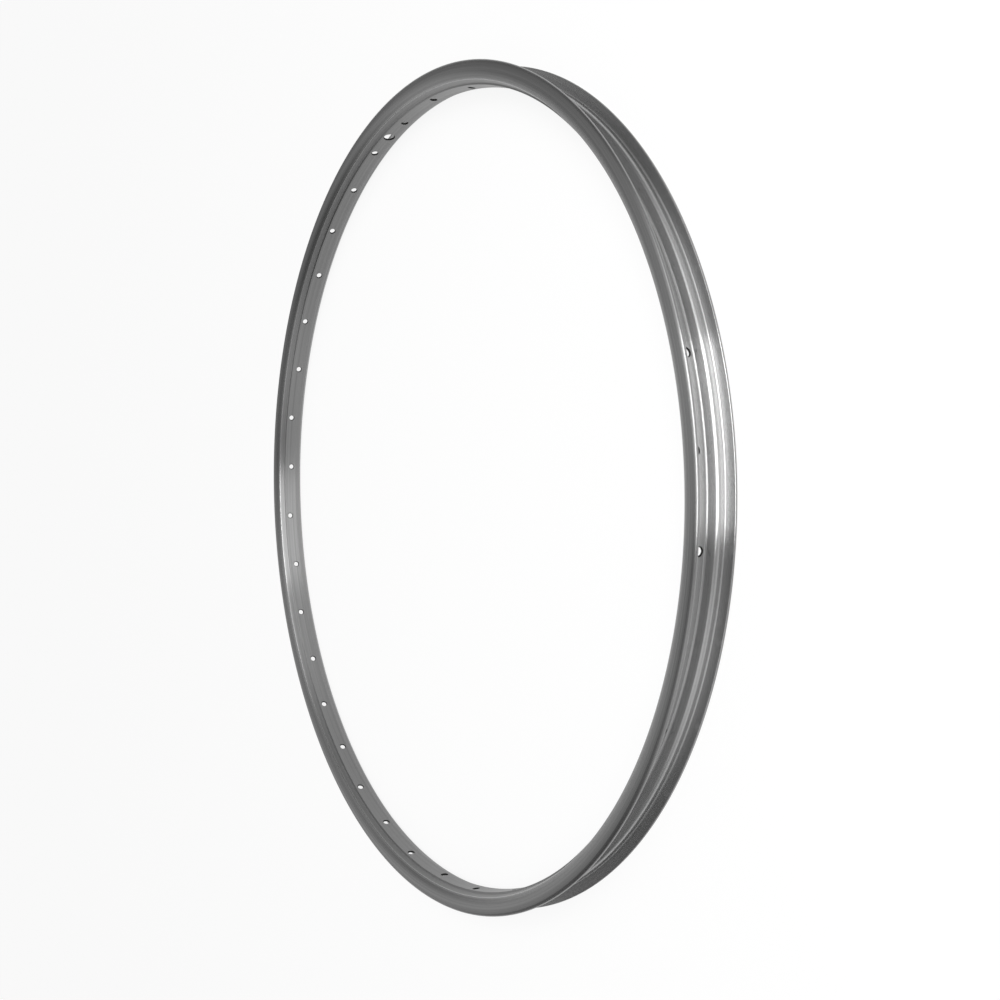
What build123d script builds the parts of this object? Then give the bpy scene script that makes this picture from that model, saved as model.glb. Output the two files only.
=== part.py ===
from build123d import *
from math import asin, degrees
import os

# Bicycle rim for a 622 mm bead seat: one closed hoop of extruded aluminium, with a single
# wall under the tyre.
# The hoop lies flat. Its axis is +Z, its middle plane is Z = 0 and its centre is the origin.
# The valve hole is on +Y. Sizes are in millimetres.

# Hoop
bead_seat_diameter = 622.0
outer_width = 29.0

# Flanges that hold the tyre's beads, with lips bevelled on the outside
flange_height = 7.0
flange_thickness = 2.3
lip_bevel_height = 1.6
lip_bevel_width = 0.9

# Well between the bead seats, and the floor in it that the spokes pull on
well_depth = 6.5
well_width = 11.0
well_draft = 1.9
floor_thickness = 1.5

# Sides of the hoop: a flat brake track, and a band below it that leans in
track_height = 7.5
lower_band_height = 4.7
lower_band_lean = 3.2

# Hub side of the hoop: two sloping shoulders, and the floor standing proud between them
shoulder_rise = 1.6
floor_band_width = 12.0
floor_band_slope = 0.5

# Holes drilled towards the middle of the hub, the spoke holes by turns on either side of the
# middle plane. The floor is an arc about the same point, so every hole meets it squarely.
spoke_count = 36
spoke_hole_diameter = 4.8
spoke_hole_stagger = 1.15
valve_hole_diameter = 8.5
valve_angle = 90.0
drill_overrun = 1.0

# Levels of the section, as radii
seat_radius = bead_seat_diameter / 2
tip_radius = seat_radius + flange_height
bevel_radius = tip_radius - lip_bevel_height
well_radius = seat_radius - well_depth
floor_radius = well_radius - floor_thickness
track_foot_radius = tip_radius - track_height
corner_radius = track_foot_radius - lower_band_height
shoulder_radius = corner_radius - shoulder_rise

# Reach of the section's corners from the middle plane
half_width = outer_width / 2
lip_outside = half_width - lip_bevel_width
flange_inside = half_width - flange_thickness
corner = half_width - lower_band_lean
well_half = well_width / 2
seat_edge = well_half + well_draft
floor_band_half = floor_band_width / 2
shoulder_foot = floor_band_half + floor_band_slope

# Half the turn of the floor's two arcs about the middle of the hub
floor_turn = degrees(asin(floor_band_half / floor_radius))
well_turn = degrees(asin(well_half / well_radius))

# Drilling, from the middle of the hub outwards
drill_length = well_radius + drill_overrun
drill_tilt = degrees(asin(spoke_hole_stagger / floor_radius))
drill_align = (Align.CENTER, Align.CENTER, Align.MIN)
spoke_pitch = 360 / spoke_count

with BuildPart() as rim:
    with BuildSketch(Plane.XZ):
        with BuildLine():
            floor_arc = CenterArc((0, 0), floor_radius, 0, floor_turn)
            well_arc = CenterArc((0, 0), well_radius, 0, well_turn)
            Polyline(
                floor_arc @ 1,
                (shoulder_radius, shoulder_foot),
                (corner_radius, corner),
                (track_foot_radius, half_width),
                (bevel_radius, half_width),
                (tip_radius, lip_outside),
                (tip_radius, flange_inside),
                (seat_radius, flange_inside),
                (seat_radius, seat_edge),
                well_arc @ 1,
            )
            Line(well_arc @ 0, floor_arc @ 0)
        make_face()
        mirror(about=Plane.XZ)
    revolve(axis=Axis.Z)

    # Spoke holes, every second one on the same side of the middle plane
    for side in (1, -1):
        with PolarLocations(0, spoke_count // 2, valve_angle + side * spoke_pitch / 2):
            Cylinder(
                spoke_hole_diameter / 2,
                drill_length,
                rotation=(0, 90 - side * drill_tilt, 0),
                align=drill_align,
                mode=Mode.SUBTRACT,
            )

    # Valve hole, midway between two spoke holes
    with PolarLocations(0, 1, valve_angle):
        Cylinder(
            valve_hole_diameter / 2,
            drill_length,
            rotation=(0, 90, 0),
            align=drill_align,
            mode=Mode.SUBTRACT,
        )

rim.part.label = "rim"
os.makedirs("parts", exist_ok=True)
export_step(rim.part, "parts/rim.step")
print("rim", round(rim.part.volume), "cubic mm,", len(rim.part.faces()), "faces")
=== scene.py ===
from math import cos, pi, radians, sin, tan

import bmesh
import bpy
from mathutils import Matrix, Vector


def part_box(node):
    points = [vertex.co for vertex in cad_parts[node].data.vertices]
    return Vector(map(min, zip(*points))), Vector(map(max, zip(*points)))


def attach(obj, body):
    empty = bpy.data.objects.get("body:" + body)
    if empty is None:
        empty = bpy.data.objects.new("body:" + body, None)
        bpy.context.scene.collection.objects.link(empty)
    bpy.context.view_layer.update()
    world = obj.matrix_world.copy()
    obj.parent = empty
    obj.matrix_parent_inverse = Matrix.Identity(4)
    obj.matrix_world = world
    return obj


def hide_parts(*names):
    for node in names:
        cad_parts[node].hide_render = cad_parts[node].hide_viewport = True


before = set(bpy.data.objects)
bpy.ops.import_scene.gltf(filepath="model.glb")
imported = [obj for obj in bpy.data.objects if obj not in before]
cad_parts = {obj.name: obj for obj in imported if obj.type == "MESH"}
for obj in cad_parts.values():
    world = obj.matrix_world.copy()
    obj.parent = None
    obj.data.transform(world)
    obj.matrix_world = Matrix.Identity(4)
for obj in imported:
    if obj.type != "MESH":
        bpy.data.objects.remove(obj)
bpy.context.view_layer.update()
mm = 0.001

rimLow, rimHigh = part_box("rim")
tipRadius = rimHigh.x
halfWidth = rimHigh.z
print("frame loaded, rim", round(2 * tipRadius, 4), "m across,", round(2 * halfWidth, 4), "m wide")

# the hoop, sizes in metres
hoop = {
    "seatDepth": 7.0 * mm,         # lip down to the bead seat
    "lipThickness": 2.3 * mm,
    "lipBevel": (1.6 * mm, 0.9 * mm),
    "wellDepth": 6.5 * mm,         # bead seat down to the well
    "wellHalf": 5.5 * mm,
    "wellDraft": 1.9 * mm,
    "floorThickness": 1.5 * mm,
    "floorHalf": 6.0 * mm,         # the raised band that the spokes pull on
    "floorSlope": 0.5 * mm,
    "trackHeight": 7.5 * mm,       # flat side that the brake runs on
    "lowerHeight": 4.7 * mm,
    "lowerLean": 3.2 * mm,
    "shoulderRise": 1.6 * mm,
    "stepsRound": 360,
    "stepsCorner": 6,
    "sharpAngle": 30,              # edges that turn more than this stay crisp
    "mirrorWithin": 0.01 * mm,
    "mergeWithin": 0.005 * mm,
}

seatRadius = tipRadius - hoop["seatDepth"]
wellRadius = seatRadius - hoop["wellDepth"]
floorRadius = wellRadius - hoop["floorThickness"]
lipInside = halfWidth - hoop["lipThickness"]
seatEdge = hoop["wellHalf"] + hoop["wellDraft"]
trackFoot = tipRadius - hoop["trackHeight"]
cornerRadius = trackFoot - hoop["lowerHeight"]
cornerReach = halfWidth - hoop["lowerLean"]

# drawn aluminium: fine lines run round the hoop, and each pair goes from the darkest to the palest
alloy = {
    "sideTone": (0.20, 0.34),
    "hubTone": (0.21, 0.36),
    "wellPaintedLightTone": (0.36, 0.47),      # painted light: the tyre side is painted brighter for the light its channel catches, most of all on the seats, for light bounced between seat and flange
    "seatPaintedLightTone": (0.40, 0.52),
    "cornerHighlightTone": (0.29, 0.41),    # painted highlight: a bright line where the side meets the shoulder
    "cornerHighlightFade": (0.7 * mm, 1.05 * mm),
    "lipFade": (0.2 * mm, 0.5 * mm),   # past the flange's inside, where the tyre side's painted light ends
    "seatFade": 1.0 * mm,
    "wallTurn": 5.8 * mm,          # beyond this the wall between the two sides climbs
    "hubReach": 10.9 * mm,         # the hub side's finish ends short of the corner
    "hubFade": 0.5 * mm,
    "roughness": (0.23, 0.27),
    "hubRoughness": (0.35, 0.39),
    "spreadAcross": 1,             # light spreads further across the lines than along them
    "spreadTurn": 0.25,
    "fineLines": 2600,             # changes in a metre of the section
    "fineDetail": 2,
    "broadLines": 500,
    "broadDetail": 3,
    "broadShare": 0.5,
    "lineTurns": 1.2,              # changes on the way round
    "lineDepth": 0.006 * mm,
}

# walls and broken edges of the drilled holes, painted near black as shade inside the holes
drilledWallShade = {
    "tone": (0.008, 0.03),
    "roughness": 0.5,
    "marks": 1500,                 # changes in a metre
}

noiseRange = (0.3, 0.7)            # where most of a noise lies


def addNode(tree, kind, values=None, **settings):
    node = tree.nodes.new(kind)
    for name, setting in settings.items():
        setattr(node, name, setting)
    for socket, value in (values or {}).items():
        if isinstance(value, bpy.types.NodeSocket):
            tree.links.new(value, node.inputs[socket])
        else:
            node.inputs[socket].default_value = value
    return node


def calc(tree, operation, *values, clamp=False):
    node = addNode(tree, "ShaderNodeMath", dict(enumerate(values)),
                   operation=operation, use_clamp=clamp)
    return node.outputs[0]


def vectorCalc(tree, operation, *values, result="Vector"):
    node = addNode(tree, "ShaderNodeVectorMath", dict(enumerate(values)), operation=operation)
    return node.outputs[result]


def ramp(tree, value, start, end, low, high):
    return addNode(tree, "ShaderNodeMapRange", {
        "Value": value, "From Min": start, "From Max": end, "To Min": low, "To Max": high,
    }).outputs[0]


def spread(tree, noise, limits):
    return ramp(tree, noise, *noiseRange, *limits)


def blend(tree, share, first, second):
    mix = addNode(tree, "ShaderNodeMix", {"Factor": share, "A": first, "B": second})
    return mix.outputs["Result"]


def newMetal(name):
    mat = bpy.data.materials.new(name)
    mat.use_nodes = True
    shader = mat.node_tree.nodes["Principled BSDF"]
    shader.inputs["Metallic"].default_value = 1
    return mat, mat.node_tree, shader


def hoopPlace(tree):
    # distance from the axis, heading round it, and height
    place = addNode(tree, "ShaderNodeTexCoord").outputs["Object"]
    flat = vectorCalc(tree, "MULTIPLY", place, (1, 1, 0))
    reach = vectorCalc(tree, "LENGTH", flat, result="Value")
    heading = vectorCalc(tree, "NORMALIZE", flat)
    height = addNode(tree, "ShaderNodeSeparateXYZ", {0: place}).outputs["Z"]
    return reach, heading, height


def sides(tree, place):
    # how much a place is on the tyre side, the hub side, a seat and the painted highlight line
    # where the side meets the shoulder
    reach, _, height = place
    across = calc(tree, "ABSOLUTE", height)
    past = calc(tree, "SUBTRACT", across, alloy["wallTurn"])
    climb = calc(tree, "MAXIMUM", past, 0)
    middle = calc(tree, "ADD", climb, (wellRadius + floorRadius) / 2)
    above = calc(tree, "GREATER_THAN", reach, middle)
    below = calc(tree, "SUBTRACT", 1, above)

    lipStart, lipEnd = alloy["lipFade"]
    lips = ramp(tree, across, lipInside + lipStart, lipInside + lipEnd, 1, 0)
    tyre = calc(tree, "MULTIPLY", lips, above)

    hubEnd = alloy["hubReach"]
    shoulders = ramp(tree, across, hubEnd - alloy["hubFade"], hubEnd, 1, 0)
    hub = calc(tree, "MULTIPLY", shoulders, below)

    seat = ramp(tree, across, seatEdge - alloy["seatFade"], seatEdge, 0, 1)

    # mask for the painted highlight line along the rounded corner of the side
    spot = addNode(tree, "ShaderNodeCombineXYZ", {"X": reach, "Y": across}).outputs[0]
    away = vectorCalc(tree, "DISTANCE", spot, (cornerRadius, cornerReach, 0), result="Value")
    corner = ramp(tree, away, *alloy["cornerHighlightFade"], 1, 0)
    return tyre, hub, seat, corner


def hoopLines(tree, place, perMetre, detail):
    # noise that changes fast across the section and slowly round the hoop
    reach, heading, height = place
    level = calc(tree, "MULTIPLY", reach, perMetre)
    layer = calc(tree, "MULTIPLY", height, perMetre)
    rise = addNode(tree, "ShaderNodeCombineXYZ", {"Z": level}).outputs[0]
    spot = vectorCalc(tree, "MULTIPLY_ADD", heading, (alloy["lineTurns"],) * 3, rise)
    noise = addNode(tree, "ShaderNodeTexNoise",
                    {"Vector": spot, "W": layer, "Scale": 1, "Detail": detail},
                    noise_dimensions="4D")
    return noise.outputs["Fac"]


def brushedAlloy():
    mat, tree, shader = newMetal("brushedAlloy")
    place = hoopPlace(tree)
    fine = hoopLines(tree, place, alloy["fineLines"], alloy["fineDetail"])
    broad = hoopLines(tree, place, alloy["broadLines"], alloy["broadDetail"])
    both = blend(tree, alloy["broadShare"], fine, broad)
    tyre, hub, seat, corner = sides(tree, place)

    # painted light: the tyre side and its seats get a brighter tone than the rest of the same alloy
    tyrePaintedLightTone = blend(tree, seat, spread(tree, both, alloy["wellPaintedLightTone"]),
                     spread(tree, both, alloy["seatPaintedLightTone"]))
    plainTone = blend(tree, hub, spread(tree, both, alloy["sideTone"]),
                      spread(tree, both, alloy["hubTone"]))
    # painted highlight: a brighter tone along the rounded corner where the side meets the shoulder
    outerTone = blend(tree, corner, plainTone, spread(tree, both, alloy["cornerHighlightTone"]))
    tone = blend(tree, tyre, outerTone, tyrePaintedLightTone)
    rough = blend(tree, hub, spread(tree, broad, alloy["roughness"]),
                  spread(tree, broad, alloy["hubRoughness"]))
    relief = addNode(tree, "ShaderNodeBump",
                     {"Strength": 1, "Distance": alloy["lineDepth"], "Height": fine}).outputs[0]
    tangent = addNode(tree, "ShaderNodeTangent", direction_type="RADIAL", axis="Z").outputs[0]

    tree.links.new(tone, shader.inputs["Base Color"])
    tree.links.new(rough, shader.inputs["Roughness"])
    tree.links.new(relief, shader.inputs["Normal"])
    tree.links.new(tangent, shader.inputs["Tangent"])
    shader.inputs["Anisotropic"].default_value = alloy["spreadAcross"]
    shader.inputs["Anisotropic Rotation"].default_value = alloy["spreadTurn"]
    return mat


def drillingPaintedShade():
    mat, tree, shader = newMetal("drillingPaintedShade")
    place = addNode(tree, "ShaderNodeTexCoord").outputs["Object"]
    marks = addNode(tree, "ShaderNodeTexNoise", {"Vector": place, "Scale": drilledWallShade["marks"]})
    # painted shade: a near-black tone on the walls inside the holes
    tone = spread(tree, marks.outputs["Fac"], drilledWallShade["tone"])
    tree.links.new(tone, shader.inputs["Base Color"])
    shader.inputs["Roughness"].default_value = drilledWallShade["roughness"]
    return mat


# rounded edges of the section, as radii
edgeRadius = {
    "floorEdge": 0.3 * mm,
    "floorFoot": 0.4 * mm,
    "sideCorner": 1.2 * mm,
    "trackFoot": 10.0 * mm,
    "lipFoot": 3.0 * mm,
    "lipTop": 1.2 * mm,
    "lipInside": 0.5 * mm,
    "lipRoot": 1.2 * mm,
    "seatEdge": 2.7 * mm,
    "wellCorner": 1.5 * mm,
}

# holes drilled through the floor
drilling = {
    "spokeCount": 36,
    "spokeRadius": 2.4 * mm,
    "stagger": 1.15 * mm,          # every second hole off to the same side
    "valveRadius": 4.25 * mm,
    "valveAngle": 90,
    "breakEdge": 0.55 * mm,
    "reach": 3.0 * mm,             # of the cutter, each way from the middle of the floor
    "sidesRound": 40,
}


def sectionCorners():
    bevelHeight, bevelWidth = hoop["lipBevel"]
    return [
        (floorRadius, 0, None),
        (floorRadius, hoop["floorHalf"], "floorEdge"),
        (cornerRadius - hoop["shoulderRise"], hoop["floorHalf"] + hoop["floorSlope"], "floorFoot"),
        (cornerRadius, cornerReach, "sideCorner"),
        (trackFoot, halfWidth, "trackFoot"),
        (tipRadius - bevelHeight, halfWidth, "lipFoot"),
        (tipRadius, halfWidth - bevelWidth, "lipTop"),
        (tipRadius, lipInside, "lipInside"),
        (seatRadius, lipInside, "lipRoot"),
        (seatRadius, seatEdge, "seatEdge"),
        (wellRadius, hoop["wellHalf"], "wellCorner"),
        (wellRadius, 0, None),
    ]


def roundCorner(bm, vert, radius):
    # a bevel is measured along the edges, so the radius is turned into that length
    ends = [edge.other_vert(vert).co - vert.co for edge in vert.link_edges]
    opening = ends[0].angle(ends[1])
    bmesh.ops.bevel(bm, geom=[vert], offset=radius / tan(opening / 2), offset_type="OFFSET",
                    affect="VERTICES", segments=hoop["stepsCorner"], profile=0.5, material=-1)


def mergeDoubles(bm):
    bmesh.ops.remove_doubles(bm, verts=bm.verts[:], dist=hoop["mergeWithin"])


def newPiece(name, bm, mat):
    mesh = bpy.data.meshes.new(name)
    bm.to_mesh(mesh)
    bm.free()
    mesh.materials.append(mat)
    piece = bpy.data.objects.new(name, mesh)
    bpy.context.scene.collection.objects.link(piece)
    return piece


def spunHoop():
    bm = bmesh.new()
    corners = [(bm.verts.new((r, 0, z)), edge) for r, z, edge in sectionCorners()]
    for (start, _), (end, _) in zip(corners, corners[1:]):
        bm.edges.new((start, end))
    for vert, edge in corners:
        if edge:
            roundCorner(bm, vert, edgeRadius[edge])
    bmesh.ops.mirror(bm, geom=bm.verts[:] + bm.edges[:], axis="Z",
                     merge_dist=hoop["mirrorWithin"])
    mergeDoubles(bm)
    bmesh.ops.spin(bm, geom=bm.verts[:] + bm.edges[:], axis=(0, 0, 1), cent=(0, 0, 0),
                   angle=2 * pi, steps=hoop["stepsRound"], use_merge=True)
    mergeDoubles(bm)
    bmesh.ops.recalc_face_normals(bm, faces=bm.faces[:])
    return newPiece("rimHoop", bm, brushedAlloy())


def drillCutter():
    bm = bmesh.new()
    half = hoop["floorThickness"] / 2
    middle = floorRadius + half
    edge = drilling["breakEdge"]
    reach = drilling["reach"]
    flare = reach - half + edge
    pitch = 360 / drilling["spokeCount"]
    holes = [(drilling["valveAngle"], 0, drilling["valveRadius"])]
    for number in range(drilling["spokeCount"]):
        side = 1 if number % 2 == 0 else -1
        angle = drilling["valveAngle"] + pitch * (number + 0.5)   # the valve is midway between two
        holes.append((angle, side * drilling["stagger"], drilling["spokeRadius"]))
    for angle, offset, radius in holes:
        # a spool: narrow through the floor and wider outside it, so both edges of a hole are broken
        spool = [(0, -reach), (radius + flare, -reach), (radius, edge - half),
                 (radius, half - edge), (radius + flare, reach), (0, reach)]
        place = (Matrix.Rotation(radians(angle), 4, "Z") @ Matrix.Translation((middle, 0, offset))
                 @ Matrix.Rotation(pi / 2, 4, "Y"))
        verts = [bm.verts.new(place @ Vector((r, 0, z))) for r, z in spool]
        edges = [bm.edges.new(pair) for pair in zip(verts, verts[1:])]
        bmesh.ops.spin(bm, geom=verts + edges, axis=place.col[2].to_3d(), cent=place.translation,
                       angle=2 * pi, steps=drilling["sidesRound"], use_merge=True)
    mergeDoubles(bm)
    bmesh.ops.recalc_face_normals(bm, faces=bm.faces[:])
    return newPiece("drillCutter", bm, drillingPaintedShade())


def bakeModifiers(piece):
    bpy.context.view_layer.update()
    graph = bpy.context.evaluated_depsgraph_get()
    mesh = bpy.data.meshes.new_from_object(piece.evaluated_get(graph))
    piece.modifiers.clear()
    piece.data = mesh


def drilledHoop():
    piece = spunHoop()
    cutter = drillCutter()
    cut = piece.modifiers.new("drilling", "BOOLEAN")
    cut.operation = "DIFFERENCE"
    cut.solver = "MANIFOLD"
    # the cut walls of the holes take the cutter's painted shade
    cut.material_mode = "TRANSFER"
    cut.object = cutter
    bakeModifiers(piece)
    bpy.data.objects.remove(cutter)
    piece.data.shade_smooth()
    piece.data.set_sharp_from_angle(angle=radians(hoop["sharpAngle"]))
    even = piece.modifiers.new("evenNormals", "WEIGHTED_NORMAL")   # keeps flat bands flat
    even.keep_sharp = True
    bakeModifiers(piece)
    return piece


rim = drilledHoop()
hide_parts("rim")
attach(rim, "root")
print("hoop made,", len(rim.data.polygons), "faces,", len(rim.data.materials), "finishes")

# floor and light, headings in degrees round from +X and rises in degrees above the floor
studio = {
    "floorSize": 60,
    "floorTone": 0.95,
    "floorWhite": 0.88,            # share of the floor's own white in what the lens sees
    "domeTone": 0.08,
    "horizon": {"tightness": 25, "glow": 0.8},
    "patches": [                   # heading, rise, tightness and brightness
        (44, 52, 16, 2.7),
        (184, 28, 20, 0.72),
        (140, 49, 14, 0.58),
        (-58, 46, 12, 1.15),
    ],
    "frontBox": {"heading": 3.2, "rise": 38, "distance": 1.28, "size": (0.83, 0.6), "glow": 6.2},
}


def paleFloor():
    bm = bmesh.new()
    bmesh.ops.create_grid(bm, x_segments=1, y_segments=1, size=studio["floorSize"],
                          matrix=Matrix.Translation((0, 0, rimLow.z)))
    mat = bpy.data.materials.new("paleFloor")
    mat.use_nodes = True
    tree = mat.node_tree
    tree.nodes.remove(tree.nodes["Principled BSDF"])
    floorColor = (studio["floorTone"],) * 3 + (1,)
    matt = addNode(tree, "ShaderNodeBsdfDiffuse", {"Color": floorColor}).outputs[0]
    white = addNode(tree, "ShaderNodeEmission").outputs[0]
    ray = addNode(tree, "ShaderNodeLightPath").outputs
    seen = calc(tree, "ADD", ray["Is Camera Ray"], ray["Is Glossy Ray"], clamp=True)
    seen = calc(tree, "ADD", seen, ray["Is Transmission Ray"], clamp=True)
    share = calc(tree, "MULTIPLY", seen, studio["floorWhite"])
    mix = addNode(tree, "ShaderNodeMixShader", {0: share, 1: matt, 2: white}).outputs[0]
    tree.links.new(mix, tree.nodes["Material Output"].inputs["Surface"])
    newPiece("paleFloor", bm, mat)


def towards(heading, rise):
    heading, rise = radians(heading), radians(rise)
    return Vector((cos(rise) * cos(heading), cos(rise) * sin(heading), sin(rise)))


def softBox(name, values):
    data = bpy.data.lights.new(name, "AREA")
    data.shape = "RECTANGLE"
    data.size, data.size_y = values["size"]
    data.energy = values["glow"] * pi * data.size * data.size_y
    lamp = bpy.data.objects.new(name, data)
    lamp.location = towards(values["heading"], values["rise"]) * values["distance"]
    lamp.rotation_euler = (-lamp.location).to_track_quat("-Z", "Y").to_euler()
    bpy.context.scene.collection.objects.link(lamp)


def dome():
    # dim overhead, pale round the horizon, with a few soft patches of light
    world = bpy.data.worlds.new("dome")
    world.use_nodes = True
    tree = world.node_tree
    heading = addNode(tree, "ShaderNodeTexCoord").outputs["Generated"]
    height = addNode(tree, "ShaderNodeSeparateXYZ", {0: heading}).outputs["Z"]
    steep = calc(tree, "POWER", height, 2)
    horizon = studio["horizon"]
    low = calc(tree, "EXPONENT", calc(tree, "MULTIPLY", steep, -horizon["tightness"]))
    glow = calc(tree, "MULTIPLY_ADD", low, horizon["glow"], studio["domeTone"])
    for aim, rise, tight, bright in studio["patches"]:
        facing = vectorCalc(tree, "DOT_PRODUCT", heading, towards(aim, rise), result="Value")
        soft = calc(tree, "EXPONENT", calc(tree, "MULTIPLY_ADD", facing, tight, -tight))
        glow = calc(tree, "MULTIPLY_ADD", soft, bright, glow)
    tree.links.new(glow, tree.nodes["Background"].inputs["Strength"])
    tree.nodes["Background"].inputs["Color"].default_value = (1, 1, 1, 1)
    bpy.context.scene.world = world


paleFloor()
dome()
softBox("frontBox", studio["frontBox"])
print("floor and light set")

# the lens, its place in metres and its turn in degrees
lens = {
    "place": (0.67442, -0.10312, 0.36664),
    "turn": (-4.076, 62.715, -11.544),
    "focal": 34.672,
    "sensor": 36,
    "shift": (0.0936, 0.0207),
    "farthest": 500,
}


def camera():
    data = bpy.data.cameras.new("camera")
    data.sensor_width = lens["sensor"]
    data.lens = lens["focal"]
    data.shift_x, data.shift_y = lens["shift"]
    data.clip_end = lens["farthest"]
    cam = bpy.data.objects.new("camera", data)
    cam.location = lens["place"]
    cam.rotation_euler = [radians(angle) for angle in lens["turn"]]
    bpy.context.scene.collection.objects.link(cam)
    bpy.context.scene.camera = cam


camera()
bpy.context.scene.view_settings.view_transform = "Standard"
